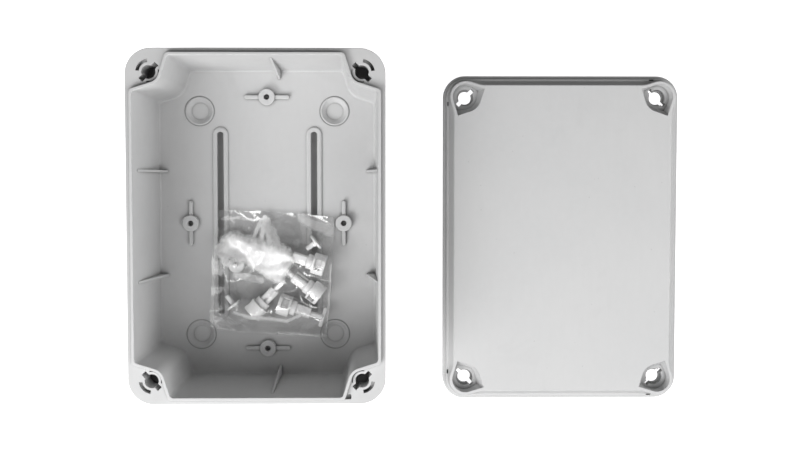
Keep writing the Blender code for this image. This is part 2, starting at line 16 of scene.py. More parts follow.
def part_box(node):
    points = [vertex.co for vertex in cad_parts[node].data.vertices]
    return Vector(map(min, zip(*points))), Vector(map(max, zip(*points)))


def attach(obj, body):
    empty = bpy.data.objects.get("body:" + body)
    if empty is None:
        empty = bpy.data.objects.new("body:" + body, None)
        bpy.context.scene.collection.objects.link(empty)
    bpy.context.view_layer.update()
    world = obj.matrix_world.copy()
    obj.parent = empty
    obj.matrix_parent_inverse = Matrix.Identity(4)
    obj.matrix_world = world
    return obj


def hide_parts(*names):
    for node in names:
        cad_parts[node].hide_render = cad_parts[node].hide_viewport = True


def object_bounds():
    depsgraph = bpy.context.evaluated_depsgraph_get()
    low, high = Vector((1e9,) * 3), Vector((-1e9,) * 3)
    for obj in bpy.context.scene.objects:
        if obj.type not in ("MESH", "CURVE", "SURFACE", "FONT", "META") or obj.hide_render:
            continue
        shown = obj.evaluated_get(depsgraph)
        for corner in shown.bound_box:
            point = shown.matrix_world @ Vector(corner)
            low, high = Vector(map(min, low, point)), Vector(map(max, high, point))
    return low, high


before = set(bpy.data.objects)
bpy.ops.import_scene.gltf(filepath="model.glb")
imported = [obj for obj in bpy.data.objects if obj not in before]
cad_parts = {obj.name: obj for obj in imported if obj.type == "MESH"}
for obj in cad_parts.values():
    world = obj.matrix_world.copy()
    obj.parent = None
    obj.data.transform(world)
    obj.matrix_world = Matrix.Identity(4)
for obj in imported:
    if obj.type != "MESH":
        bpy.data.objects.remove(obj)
CAD_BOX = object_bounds()

MM = 0.001


def cad_box(node):
    """(lowest corner, highest corner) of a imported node, in millimetres."""
    low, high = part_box(node)
    return Vector(low) / MM, Vector(high) / MM


# Driving sizes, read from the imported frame
BASE_LOW, BASE_HIGH = cad_box("base_box")
LID_LOW, LID_HIGH = cad_box("lid")
BAG_LOW, BAG_HIGH = cad_box("polybag")
WIDTH = BASE_HIGH.x - BASE_LOW.x
LENGTH = BASE_HIGH.y - BASE_LOW.y
TONGUE_TOP = BASE_HIGH.z
LID_CENTRE = (LID_LOW + LID_HIGH) / 2
LID_HEIGHT = LID_HIGH.z

# Base
TONGUE_HEIGHT = 4.5
FLANGE_TOP = TONGUE_TOP - TONGUE_HEIGHT
FLANGE_DEPTH = 6
FLANGE_CORNER = 23
FLANGE_LIP = 3.7
DRAFT = math.tan(math.radians(2))
HOLE_INSET = 21
TONGUE_OUTER = 4.1
TONGUE_INNER = 6.7
TURRET_RADIUS = 9.5
TURRET_SLANT = math.radians(17.5)
TURRET_FILLET = 4
FLOOR_TOP = 12
FLOOR_THICK = 3
COVE = 2.5
SKIRT_THICK = 3

# Features of the floor
BOSS_SPACING = (147, 242)
BOSS_RADIUS = 7.8
BOSS_TOP = 18
BOSS_HOLE_RADIUS = 2.7
BOSS_RIB = (43, 3.6)  # length, width
BOSS_RIB_TOP = 16
WELL_SPACING = (129.5, 215.5)
WELL_RADIUS = 12.2
WELL_FOOT_RADIUS = 8.8
WELL_FLOOR = 8.4
WELL_DISC_RADIUS = 8.2
WELL_DISC_FLOOR = 7.6
WELL_RIM_RADIUS = WELL_RADIUS + 1.5
WELL_RIM_HEIGHT = 0.5
CENTRE_PAD_RADIUS = 12
SLOT_SPACING = 90
SLOT_SIZE = (6, 176)
SLOT_BORDER = 4.6
SLOT_BORDER_TOP = 14
SLOT_FLOOR = 1.6
SLOT_WIDE = 2.2  # how much further out the slot reaches under its lips, on every side
SLOT_LIP_FOOT = 10.5
FIN_REACH = 9
FIN_TOP = 90
FIN_THICK = 2
LONG_WALL_FINS = (-50, 50)
SHORT_WALL_FIN = 12

# Fastener holes
KEYHOLE_RADIUS = 6.15
KEYHOLE_TIP = 10
KEYHOLE_WING = 4.6
COLLAR_FOOT = 80
COLUMN_RADIUS = 9.9
COLUMN_FLOOR = 66
CRESCENT = (8.3, 11.4)  # radii of the ramped trough outside each hole
CRESCENT_REACH = math.radians(39)
COLLAR_GROOVE = (8.3, 9.2)  # radii of the groove inside each hole
COLLAR_GROOVE_REACH = math.radians(58)
POCKET_CENTRE = (34, 6.5)  # in from the two outer edges
POCKET_SIZE = (3.4, 2.3, 1)  # half sides and corner radius

# Lid
SKIRT_HEIGHT = 7
PANEL_INSET = 10.6
WELL_BULGE = 3.9
BULGE_RUN = 17
LID_WELL_TIP = (-7.6, 18.2)
LID_WELL_FLOOR = 3
LID_WELL_STEP = 8.5
LID_WELL_MOUTH = (12.5, 14.8)  # radii of the well's outer and inner sides
LID_WELL_FOOT = (12, 10.8)
LID_WELL_FOOT_TIP = (-6.6, 12.4)
LID_WELL_DISC_RADIUS = 8
LID_KEYHOLE = (10.4, 3.8)  # tip and wing
LID_CORE = (14.6, 17.6)  # radii of the hollow outside each well
LID_CORE_TOP = 5.8
GROOVE_ROOF = 6.6
LEDGE_SLOTS = (((-1, 1), (4.3, 27.3)), ((-1, -1), (4.3, 27.3)), ((1, 1), (27.3, 4.3)), ((1, -1), (27.3, 4.3)))

# Fastener, along its own axis from the T end
T_BAR = (18.6, 2.6, 3.2)
STEM_RADIUS = 2.5
SHANK_START = 14
SHANK_WIDTH = 9.4
SHANK_SWEEP = 0.63  # radius of the shank's corners, as a share of its width
HUB_START = 28.5
HUB_RADIUS = 7.2
DRUM_START = 34
DRUM_RADIUS = 10.2
DRUM_FLAT = 9.4  # how far the drum's two flat faces lie from the axis
WINDOW_HALF = 5.2  # half the width of the two windows in the drum
WINDOW_DEPTH = 4.2  # their floors, from the axis
FASTENER_LENGTH = 46

# Plug
PLUG_RADIUS = 7.75
PLUG_HEAD = 2.2
PLUG_STEM_RADIUS = 2.3
PLUG_LENGTH = 12.5

# Where the bag's contents lie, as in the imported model. The fasteners have (x, y), the way the T end
# points, and the roll, both in degrees
FASTENERS = (
    ((50, -39), 163, 0),
    ((47, -66), 143, 35),
    ((-10, -82), 46, 90),
    ((17, -78), -18, 20),
)
# The plugs have (x, y), the way the stem points, and whether the plug lies on its side
PLUGS = (
    ((48, -17), 218, True),
    ((-31, -79), 127, True),
    ((-30, -40), 0, False),
    ((-8, -26), 0, False),
)
FILM = 0.6
AXIS_HEIGHT = BAG_LOW.z + FILM + 0.5 + DRUM_RADIUS
PLUG_FOOT = BAG_LOW.z + FILM + 0.4

CORNERS = ((1, 1), (-1, 1), (-1, -1), (1, -1))


# ---- outlines


def arc(centre, radius, start, end, steps):
    """Points of an arc, both ends included."""
    turn = (end - start) / steps
    angles = [start + turn * i for i in range(steps + 1)]
    return [(centre[0] + radius * math.cos(a), centre[1] + radius * math.sin(a)) for a in angles]


def circle(centre, radius, steps=48):
    return arc(centre, radius, 0.0, math.tau, steps)[:-1]


def rounded(corners, steps):
    """A closed outline through (x, y, radius) corners, each rounded to its radius."""
    points = []
    for i, (x, y, radius) in enumerate(corners):
        here = Vector((x, y))
        before = (Vector(corners[i - 1][:2]) - here).normalized()
        after = (Vector(corners[(i + 1) % len(corners)][:2]) - here).normalized()
        half = before.angle(after) / 2
        centre = here + (before + after).normalized() * (radius / math.sin(half))
        reach = radius / math.tan(half)
        first = here + before * reach - centre
        last = here + after * reach - centre
        start = math.atan2(first.y, first.x)
        turn = (math.atan2(last.y, last.x) - start + math.pi) % math.tau - math.pi
        points += arc(centre, radius, start, start + turn, steps)
    return points


def rounded_box(half_x, half_y, radius, centre=(0.0, 0.0), steps=12):
    return rounded([(centre[0] + sx * half_x, centre[1] + sy * half_y, radius) for sx, sy in CORNERS], steps)


def in_corner(points, corner):
    """Points measured inward from a corner's two outer edges, placed in one of the four corners."""
    return [(corner[0] * (WIDTH / 2 - p[0]), corner[1] * (LENGTH / 2 - p[1])) + tuple(p[2:]) for p in points]


def around(corner_points):
    """Joins the four corners' points into one anticlockwise loop."""
    loop = []
    for corner in CORNERS:
        placed = in_corner(corner_points, corner)
        loop += placed if corner[0] * corner[1] > 0 else placed[::-1]
    return loop


def turret_outline(side, radius):
    """Outline that runs along the sides and round the inner side of the four fastener holes."""
    slant = math.sin(TURRET_SLANT)
    rise = math.cos(TURRET_SLANT)
    far = HOLE_INSET + (radius - (side - HOLE_INSET) * slant) / rise
    apex = HOLE_INSET + radius / (slant + rise)
    corner = [(side, far, TURRET_FILLET), (apex, apex, radius), (far, side, TURRET_FILLET)]
    return rounded(around(corner), 10)


def flange_outline(inset):
    return rounded_box(WIDTH / 2 - inset, LENGTH / 2 - inset, max(FLANGE_CORNER - inset, 2.0), steps=16)


def lid_outline(inset, bulge):
    """Outline of the lid at one height, swelling by bulge round each fastener well."""
    hole = (HOLE_INSET, HOLE_INSET)
    steps = 12
    side = []
    for i in range(steps):
        t = 1 - i / steps
        swell = bulge * (1 - t * t * (3 - 2 * t))
        side.append((inset - swell, HOLE_INSET + t * BULGE_RUN))
    bow = arc(hole, HOLE_INSET - inset + bulge, math.pi, 1.5 * math.pi, 20)
    corner = side + bow + [(y, x) for x, y in reversed(side)]
    return around(corner)


def apex_on_diagonal(tip, radius, way):
    """How far from the hole's centre the tangent from tip to a circle crosses the diagonal."""
    bearing = math.atan2(tip[1], tip[0]) + way * math.acos(radius / math.hypot(*tip))
    return radius / (math.cos(bearing) + math.sin(bearing))


def lid_well_outline(corner, outer_radius, inner_radius, tip):
    outer = HOLE_INSET + apex_on_diagonal(tip, outer_radius, 1)
    inner = HOLE_INSET + apex_on_diagonal(tip, inner_radius, -1)
    tip_x = HOLE_INSET + tip[0]
    tip_y = HOLE_INSET + tip[1]
    outline = [
        (tip_x, tip_y, 0.6),
        (outer, outer, outer_radius),
        (tip_y, tip_x, 0.6),
        (inner, inner, inner_radius),
    ]
    return rounded(in_corner(outline, corner), 12)


def hole_centre(corner):
    return in_corner([(HOLE_INSET, HOLE_INSET)], corner)[0]


def outward(corner):
    """Angle of the corner's diagonal, pointing out of the box."""
    return math.atan2(corner[1], corner[0])


def keyhole(corner, tip, wing, grow=0.0):
    """A round hole with two wings across the corner's diagonal, with every edge moved out by grow."""
    centre = hole_centre(corner)
    radius = KEYHOLE_RADIUS + grow
    half = math.asin((wing / 2 + grow) / radius)
    points = []
    for side in (1, -1):
        along = outward(corner) + side * math.pi / 2
        way = Vector((math.cos(along), math.sin(along)))
        across = Vector((-way.y, way.x)) * (wing / 2 + grow)
        foot = Vector(centre) + way * (tip + grow)
        points += [tuple(foot - across), tuple(foot + across)]
        points += arc(centre, radius, along + half, along + math.pi - half, 16)
    return points


def arc_slot(corner, low_radius, high_radius, middle, half_angle, steps=16):
    centre = hole_centre(corner)
    outer = arc(centre, high_radius, middle - half_angle, middle + half_angle, steps)
    inner = arc(centre, low_radius, middle + half_angle, middle - half_angle, steps)
    return outer + inner


# ---- solids


def anticlockwise(loop):
    area = sum(a[0] * b[1] - b[0] * a[1] for a, b in zip(loop, loop[1:] + loop[:1]))
    return loop if area > 0 else loop[::-1]


def loft(levels):
    """(points, faces) of a closed solid through (outline, height) levels, lowest first."""
    points = []
    for outline, height in levels:
        points += [(x, y, height) for x, y in anticlockwise(outline)]
    count = len(levels[0][0])
    faces = [list(range(count))[::-1], list(range(len(points) - count, len(points)))]
    for level in range(len(levels) - 1):
        base = level * count
        for i in range(count):
            j = (i + 1) % count
            faces.append([base + i, base + j, base + count + j, base + count + i])
    return points, faces


def prism(outline, low, high):
    return loft([(outline, low), (outline, high)])


def cylinder(centre, radius, low, high, steps=48):
    return prism(circle(centre, radius, steps), low, high)


def turned(profile, centre=(0.0, 0.0), steps=48):
    """A solid of revolution through (radius, height) levels, lowest first."""
    return loft([(circle(centre, radius, steps), height) for radius, height in profile])


EDGE_TURNS = (0.0, 0.3, 0.6, 1.0)  # how far round a quarter circle each level of a rounded edge lies


def rounded_edge(radius):
    """(inset, depth below the top) of each level of a rounded edge, from its foot to its top."""
    angles = [turn * math.pi / 2 for turn in EDGE_TURNS]
    return [(radius * (1 - math.cos(angle)), radius * (1 - math.sin(angle))) for angle in angles]


def pad(outline_at, low, high, edge):
    """A raised shape with a rounded top edge. outline_at gives its outline for an inset."""
    levels = [(outline_at(0.0), low)]
    levels += [(outline_at(inset), high - depth) for inset, depth in rounded_edge(edge)]
    return loft(levels)


def pit(outline_at, floor, rim, edge):
    """A cutter whose hole has a rounded rim. outline_at gives its outline for an inset."""
    levels = [(outline_at(0.0), floor)]
    levels += [(outline_at(-inset), rim - depth) for inset, depth in rounded_edge(edge)]
    levels.append((outline_at(-edge), rim + 1.0))
    return loft(levels)


def ring(outer, inner, low, high):
    """A closed band between two outlines of the same number of points."""
    count = len(outer)
    loops = ((outer, low), (outer, high), (inner, high), (inner, low))
    points = [(x, y, z) for outline, z in loops for x, y in outline]
    faces = []
    for side in range(4):
        here = side * count
        there = (side + 1) % 4 * count
        for i in range(count):
            j = (i + 1) % count
            faces.append([here + i, here + j, there + j, there + i])
    return points, faces


def box(low, high):
    outline = [(low[0], low[1]), (high[0], low[1]), (high[0], high[1]), (low[0], high[1])]
    return prism(outline, low[2], high[2])


def arc_trough(corner, low_radius, high_radius, middle, half_angle, floors, top):
    """A curved cutter round a fastener hole, with a floor that ramps from floors[0] to floors[1]."""
    centre = hole_centre(corner)
    steps = 16
    points = []
    for i in range(steps + 1):
        t = i / steps
        angle = middle + half_angle * (2 * t - 1)
        floor = floors[0] + (floors[1] - floors[0]) * t
        section = ((low_radius, floor), (high_radius, floor), (high_radius, top), (low_radius, top))
        for radius, height in section:
            x = centre[0] + radius * math.cos(angle)
            y = centre[1] + radius * math.sin(angle)
            points.append((x, y, height))
    faces = [[0, 1, 2, 3], [4 * steps + i for i in (3, 2, 1, 0)]]
    for i in range(steps):
        here = 4 * i
        for side in range(4):
            other = (side + 1) % 4
            faces.append([here + side, here + 4 + side, here + 4 + other, here + other])
    if half_angle < 0:
        faces = [face[::-1] for face in faces]
    return points, faces


def joined(solids):
    """Several separate solids as one list of points and faces."""
    points = []
    faces = []
    for solid_points, solid_faces in solids:
        faces += [[i + len(points) for i in face] for face in solid_faces]
        points += solid_points
    return points, faces


def link_object(name, data):
    """A new object in the scene."""
    thing = bpy.data.objects.new(name, data)
    bpy.context.scene.collection.objects.link(thing)
    return thing


def add_object(name, solid):
    """A new object from (points, faces) in millimetres."""
    points, faces = solid
    mesh = bpy.data.meshes.new(name)
    mesh.from_pydata([Vector(point) * MM for point in points], [], faces)
    mesh.validate()
    return link_object(name, mesh)


def boolean(target, operation, solids):
    """Adds to or cuts from target."""
    helper = add_object(target.name + "_tool", joined(solids))
    step = target.modifiers.new(operation.lower(), "BOOLEAN")
    step.operation = operation
    step.object = helper
    return helper


def settled(target):
    """Applies target's modifiers."""
    bpy.context.view_layer.update()
    graph = bpy.context.evaluated_depsgraph_get()
    mesh = bpy.data.meshes.new_from_object(target.evaluated_get(graph))
    target.modifiers.clear()
    target.data = mesh
    return target


def carved(name, solid, steps):
    """An object made from one solid by adding or cutting away others, in (operation, solids) steps."""
    target = add_object(name, solid)
    helpers = [boolean(target, operation, solids) for operation, solids in steps]
    settled(target)
    for helper in helpers:
        bpy.data.objects.remove(helper)
    return target


def finish_piece(thing, material, body, nodes=(), sharp=32):
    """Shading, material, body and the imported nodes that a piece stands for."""
    thing.data.materials.clear()
    thing.data.materials.append(material)
    thing.data.shade_smooth()
    thing.data.set_sharp_from_angle(angle=math.radians(sharp))
    even = thing.modifiers.new("even_shading", "WEIGHTED_NORMAL")
    even.keep_sharp = True
    even.weight = 80
    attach(thing, body)
    if nodes:
        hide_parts(*nodes)
    return thing


# ---- base


def base_block():
    """The outer body: a drafted wall, and the flange round its mouth with rounded edges."""
    lip_foot = FLANGE_TOP - FLANGE_DEPTH
    foot_inset = FLANGE_LIP + lip_foot * DRAFT
    edge = 0.6
    levels = [(flange_outline(foot_inset + edge), 0.0), (flange_outline(foot_inset), edge)]
    levels.append((flange_outline(FLANGE_LIP), lip_foot))
    levels += [(flange_outline(depth), lip_foot + inset) for inset, depth in rounded_edge(edge)]
    levels += [(flange_outline(inset), FLANGE_TOP - depth) for inset, depth in rounded_edge(edge)]
    return loft(levels)


def cavity():
    """The inside of the box, with drafted walls, a rounded foot and a rounded rim."""
    deepest = (TONGUE_TOP - FLOOR_TOP) * DRAFT
    corner = TURRET_RADIUS + TONGUE_INNER - TONGUE_OUTER
    edge = 0.5
    cove_steps = 6
    levels = []
    for part in range(cove_steps + 1):
        angle = math.pi / 2 * part / cove_steps
        inward = deepest + COVE * (1 - math.sin(angle))
        height = FLOOR_TOP + COVE * (1 - math.cos(angle))
        levels.append((turret_outline(TONGUE_INNER + inward, corner + inward), height))
    for out, depth in rounded_edge(edge):
        levels.append((turret_outline(TONGUE_INNER - out, corner - out), TONGUE_TOP - depth))
    levels.append((turret_outline(TONGUE_INNER - edge, corner - edge), TONGUE_TOP + 1))
    return loft(levels)


def tongue():
    """The sealing tongue that stands on the flange."""

    def outline_at(inset):
        return turret_outline(TONGUE_OUTER + inset, TURRET_RADIUS + inset)

    return pad(outline_at, FLANGE_TOP - 2, TONGUE_TOP, 0.7)


def boss_centres():
    half_x = BOSS_SPACING[0] / 2
    half_y = BOSS_SPACING[1] / 2
    return ((half_x, 0.0), (0.0, half_y), (-half_x, 0.0), (0.0, -half_y))


def well_centres():
    return [(sx * WELL_SPACING[0] / 2, sy * WELL_SPACING[1] / 2) for sx, sy in CORNERS]


def disc_shape(centre, radius, steps=48):
    """Outline of a disc, for an inset."""
    return lambda inset: circle(centre, radius - inset, steps)


def long_shape(centre, half_x, half_y, steps=12):
    """Outline of a box with round ends, for an inset."""
    end = min(half_x, half_y)
    return lambda inset: rounded_box(half_x - inset, half_y - inset, end - inset - 0.1, centre, steps)


def slot_shape(side, extra):
    """Outline of a slot, or of its border, for an inset."""
    width, length = SLOT_SIZE
    return long_shape((side * SLOT_SPACING / 2, 0.0), width / 2 + extra, length / 2 + extra)


def floor_pads():
    """Everything that stands above or below the floor and joins it: bosses, slot borders and feet."""
    pads = [cylinder((0, 0), CENTRE_PAD_RADIUS, 0.0, FLOOR_TOP - 1)]
    for side in (-1, 1):
        pads.append(pad(slot_shape(side, SLOT_BORDER), 0.0, SLOT_BORDER_TOP, 1.7))
    for centre in boss_centres():
        pads.append(pad(disc_shape(centre, BOSS_RADIUS), FLOOR_TOP - 2, BOSS_TOP, 0.7))
    for centre in well_centres():
        pads.append(cylinder(centre, WELL_RADIUS + 3, 0.0, FLOOR_TOP - 0.5))
    return pads


def well_rims():
    """A low raised ring round each wall-screw well."""
    top = FLOOR_TOP + WELL_RIM_HEIGHT
    return [pad(disc_shape(centre, WELL_RIM_RADIUS), FLOOR_TOP - 1, top, 0.45) for centre in well_centres()]


def boss_ribs():
    """A rib through each boss, along its wall."""
    length, width = BOSS_RIB
    ribs = []
    for centre in boss_centres():
        half_x, half_y = (width / 2, length / 2) if centre[0] else (length / 2, width / 2)
        ribs.append(pad(long_shape(centre, half_x, half_y, 6), FLOOR_TOP - 1, BOSS_RIB_TOP, 0.8))
    return ribs


def wall_fins():
    """Thin triangular gussets between the walls and the floor."""
    foot = FLOOR_TOP - 1
    sunk = 1.5
    foot_inset = TONGUE_INNER + (TONGUE_TOP - foot) * DRAFT
    top_inset = TONGUE_INNER + (TONGUE_TOP - FIN_TOP) * DRAFT
    profile = (
        (foot_inset - sunk, foot),
        (foot_inset + FIN_REACH, foot),
        (top_inset + 0.4, FIN_TOP),
        (top_inset - sunk, FIN_TOP),
    )
    fins = []
    for along in LONG_WALL_FINS:
        fins += [fin(profile, (side, 0), along) for side in (-1, 1)]
    fins += [fin(profile, (0, side), SHORT_WALL_FIN) for side in (-1, 1)]
    return fins


def fin(profile, wall, along):
    """A plate with its profile measured inward from one wall's flange edge."""
    points = []
    for offset in (-FIN_THICK / 2, FIN_THICK / 2):
        for inset, height in profile:
            if wall[0]:
                points.append((wall[0] * (WIDTH / 2 - inset), along + offset, height))
            else:
                points.append((along + offset, wall[1] * (LENGTH / 2 - inset), height))
    faces = [[0, 1, 2, 3], [7, 6, 5, 4], [0, 4, 5, 1], [1, 5, 6, 2], [2, 6, 7, 3], [3, 7, 4, 0]]
    if wall[0] < 0 or wall[1] > 0:
        faces = [face[::-1] for face in faces]
    return points, faces


def base_recess():
    """The hollow under the floor, inside the skirt and clear of the fastener columns."""
    inset = FLANGE_LIP + FLANGE_TOP * DRAFT + SKIRT_THICK
    outline = turret_outline(inset, TURRET_RADIUS + inset - TONGUE_OUTER)
    return prism(outline, -1.0, FLOOR_TOP - FLOOR_THICK)


def well_pit(centre):
    """The funnel of a wall-screw well, with its rim rounded off."""
    top = FLOOR_TOP + WELL_RIM_HEIGHT
    slope = (WELL_RADIUS - WELL_FOOT_RADIUS) / (top - WELL_FLOOR)
    profile = (
        (WELL_FOOT_RADIUS, WELL_FLOOR),
        (WELL_RADIUS - 0.3, top - 0.4),
        (WELL_RADIUS + 0.2, top),
        (WELL_RADIUS + slope, top + 1.0),
    )
    return turned(profile, centre)


def keyhole_pit(corner):
    """The hole that takes one fastener, with the crescent and the groove beside it."""
    out = outward(corner)
    ramp = (FLANGE_TOP - 12.0, FLANGE_TOP - 2.0)
    groove = arc_slot(corner, *COLLAR_GROOVE, out + math.pi, COLLAR_GROOVE_REACH)

    def outline_at(inset):
        return keyhole(corner, KEYHOLE_TIP, KEYHOLE_WING, -inset)

    return [
        pit(outline_at, COLLAR_FOOT - 1, FLANGE_TOP, 0.4),
        arc_trough(corner, *CRESCENT, out, CRESCENT_REACH * corner[0], ramp, FLANGE_TOP + 1),
        prism(groove, FLANGE_TOP - 3, FLANGE_TOP + 0.5),
    ]


def base_openings():
    """Slots, wells, boss holes, keyholes and the small pocket of one platform, none overlapping."""
    cuts = []
    for side in (-1, 1):
        cuts.append(pit(slot_shape(side, 0.0), SLOT_FLOOR, SLOT_BORDER_TOP, 0.6))
    for centre in well_centres():
        cuts.append(well_pit(centre))
        cuts.append(cylinder(centre, WELL_RADIUS, -1.0, WELL_DISC_FLOOR - 2.0))
    for centre in boss_centres():
        cuts.append(pit(disc_shape(centre, BOSS_HOLE_RADIUS, 32), FLOOR_TOP - 2, BOSS_TOP, 0.5))
    for corner in CORNERS:
        cuts += keyhole_pit(corner)
    pocket = rounded_box(*POCKET_SIZE, in_corner([POCKET_CENTRE], (1, -1))[0], 6)
    cuts.append(prism(pocket, FLANGE_TOP - 5, FLANGE_TOP + 1))
    return cuts


def corner_bores(radius, low, high):
    """A round cutter on the axis of each fastener."""
    return [cylinder(hole_centre(corner), radius, low, high) for corner in CORNERS]


def column_cores():
    """The blind hollows that open downwards in the fastener columns."""
    return corner_bores(COLUMN_RADIUS - 0.6, -1.0, COLUMN_FLOOR - 4)


def base_deeper_openings():
    """Cuts that open into the first ones, and the groove round each well's rim."""
    cuts = []
    for side in (-1, 1):
        cuts.append(prism(slot_shape(side, SLOT_WIDE)(0.0), SLOT_FLOOR - 0.2, SLOT_LIP_FOOT))
    for centre in well_centres():
        cuts.append(cylinder(centre, WELL_DISC_RADIUS, WELL_DISC_FLOOR, WELL_FLOOR + 1))
        outer = circle(centre, WELL_RIM_RADIUS + 0.9)
        inner = circle(centre, WELL_RIM_RADIUS + 0.1)
        cuts.append(ring(outer, inner, FLOOR_TOP - 0.7, FLOOR_TOP + 1))
    return cuts + corner_bores(COLUMN_RADIUS, COLUMN_FLOOR, COLLAR_FOOT)


def make_base(material):
    steps = (
        ("UNION", [tongue()]),
        ("DIFFERENCE", [cavity()]),
        ("DIFFERENCE", [base_recess()]),
        ("UNION", floor_pads()),
        ("UNION", well_rims()),
        ("UNION", boss_ribs()),
        ("UNION", wall_fins()),
        ("DIFFERENCE", base_openings()),
        ("DIFFERENCE", column_cores()),
        ("DIFFERENCE", base_deeper_openings()),
    )
    base = carved("base_shell", base_block(), steps)
    finish_piece(base, material, "base", ["base_box"])


# ---- lid


def lid_block():
    """The stepped side and the flat panel, swelling round each fastener well."""
    profile = (
        (0.4, 0, 0),
        (0.1, 0.15, 0),
        (0, 0.4, 0),
        (0, SKIRT_HEIGHT - 0.2, 0),
        (0.25, SKIRT_HEIGHT + 0.5, 0),
        (0.8, SKIRT_HEIGHT + 0.8, 0),
        (2.6, SKIRT_HEIGHT + 1.1, 0.2),
        (2.9, SKIRT_HEIGHT + 1.5, 0.2),
        (3.2, 12.2, 0.4),
        (3.7, 12.8, 0.5),
        (5.4, 13.2, 1.2),
        (6, 14, 1.4),
        (8.8, 19.8, 3.2),
        (9.3, 21, 3.6),
        (9.7, 21.6, 3.75),
        (PANEL_INSET - 0.3, LID_HEIGHT - 0.1, 3.85),
        (PANEL_INSET, LID_HEIGHT, WELL_BULGE),
    )
    return loft([(lid_outline(inset, bulge), height) for inset, height, bulge in profile])


def lid_hollow():
    """The underside's hollow, inside the groove's inner wall."""
    levels = ((9.0, 14.4, -1.0), (9.2, 14.6, 0.4), (9.4, 14.8, 7.0), (12.0, 17.4, 18.2), (13.2, 18.6, 19.0))
    return loft([(turret_outline(side, radius), height) for side, radius, height in levels])


def lid_groove():
    outer = turret_outline(TONGUE_OUTER - 0.5, TURRET_RADIUS - 0.5)
    inner = turret_outline(TONGUE_INNER + 0.5, TURRET_RADIUS + TONGUE_INNER - TONGUE_OUTER + 0.5)
    return ring(outer, inner, -1.0, GROOVE_ROOF)


def lid_openings():
    cuts = []
    for corner in CORNERS:
        low = lid_well_outline(corner, *LID_WELL_FOOT, LID_WELL_FOOT_TIP)
        high = lid_well_outline(corner, *LID_WELL_MOUTH, LID_WELL_TIP)
        cuts.append(loft([(low, LID_WELL_STEP), (high, LID_HEIGHT + 0.3)]))
        core = arc_slot(corner, *LID_CORE, outward(corner), math.radians(70), 24)
        cuts.append(prism(core, -1.0, LID_CORE_TOP))
    for corner, (x, y) in LEDGE_SLOTS:
        cut_x, cut_y = in_corner([(x, y)], corner)[0]
        half_x, half_y = (0.7, 2.1) if x < y else (2.1, 0.7)
        cuts.append(box((cut_x - half_x, cut_y - half_y, 9.5), (cut_x + half_x, cut_y + half_y, 16.0)))
    return cuts


def lid_deeper_openings():
    """The round floor of each fastener well."""
    return corner_bores(LID_WELL_DISC_RADIUS, LID_WELL_FLOOR, LID_WELL_STEP + 1)


def make_lid(material):
    keyholes = [prism(keyhole(corner, *LID_KEYHOLE), -1.0, LID_WELL_STEP + 0.5) for corner in CORNERS]
    cuts = ([lid_hollow()], [lid_groove()], lid_openings(), lid_deeper_openings(), keyholes)
    lid = carved("lid_shell", lid_block(), [("DIFFERENCE", solids) for solids in cuts])
    lid.data.transform(Matrix.Translation(Vector((LID_CENTRE.x, LID_CENTRE.y, 0.0)) * MM))
    finish_piece(lid, material, "lid", ["lid"])


# ---- fasteners and plugs


def shank_outline():
    """A chamfered square with a groove along two faces."""
    half = SHANK_WIDTH / 2
    chamfer = 1.2
    groove = 1.0
    deep = 1.2
    side = [
        (half, -half + chamfer),
        (half, -groove),
        (half - deep, -groove),
        (half - deep, groove),
        (half, groove),
        (half, half - chamfer),
        (half - chamfer, half),
    ]
    return side + [(-half + chamfer, half)] + [(-x, -y) for x, y in side] + [(half - chamfer, -half)]


def t_bar():
    """The bar across a fastener's end, with its edges taken off."""
    length, width, depth = T_BAR
    edge = 0.4
    whole = rounded_box(length / 2, width / 2, 0.8, steps=4)
    small = rounded_box(length / 2 - edge, width / 2 - edge, 0.5, steps=4)
    return loft([(small, 0.0), (whole, edge), (whole, depth - edge), (small, depth)])


def drum():
    """The round head of a fastener, rounded at both ends."""
    edge = rounded_edge(0.8)
    levels = [(DRUM_RADIUS - depth, DRUM_START + inset) for inset, depth in edge]
    levels += [(DRUM_RADIUS - inset, FASTENER_LENGTH - depth) for inset, depth in edge]
    return turned(levels)


def drum_flats():
    """Cutters for the two flat faces of the drum."""
    flats = []
    for low, high in ((DRUM_FLAT, 14.0), (-14.0, -DRUM_FLAT)):
        flats.append(box((-12.0, low, DRUM_START - 1), (12.0, high, FASTENER_LENGTH + 1)))
    return flats


def drum_windows():
    """Cutters for the windows in the flats and the driver's slot in the end."""
    windows = []
    for side in (-1, 1):
        low, high = sorted((side * WINDOW_DEPTH, side * 12.0))
        windows.append(box((-WINDOW_HALF, low, DRUM_START + 2.0), (WINDOW_HALF, high, FASTENER_LENGTH - 3.2)))
    windows.append(box((-6.0, -0.8, FASTENER_LENGTH - 2.4), (6.0, 0.8, FASTENER_LENGTH + 1)))
    return windows


def drum_holes():
    """Cutters for the two small holes in the drum's end."""
    low = FASTENER_LENGTH - 2.0
    return [cylinder((x, 0.0), 1.1, low, FASTENER_LENGTH + 1, 20) for x in (-7.8, 7.8)]


def fastener_mesh():
    """One quarter-turn fastener, lying along +Z with the T end at zero."""
    steps = (
        ("UNION", [cylinder((0, 0), STEM_RADIUS, T_BAR[2] - 1.5, SHANK_START + 2, 24)]),
        ("UNION", [prism(shank_outline(), SHANK_START, HUB_START + 1)]),
        ("UNION", [cylinder((0, 0), HUB_RADIUS, HUB_START, DRUM_START + 1)]),
        ("UNION", [drum()]),
        ("DIFFERENCE", drum_flats()),
        ("DIFFERENCE", drum_windows()),
        ("DIFFERENCE", drum_holes()),
    )
    return carved("fastener_shape", t_bar(), steps)


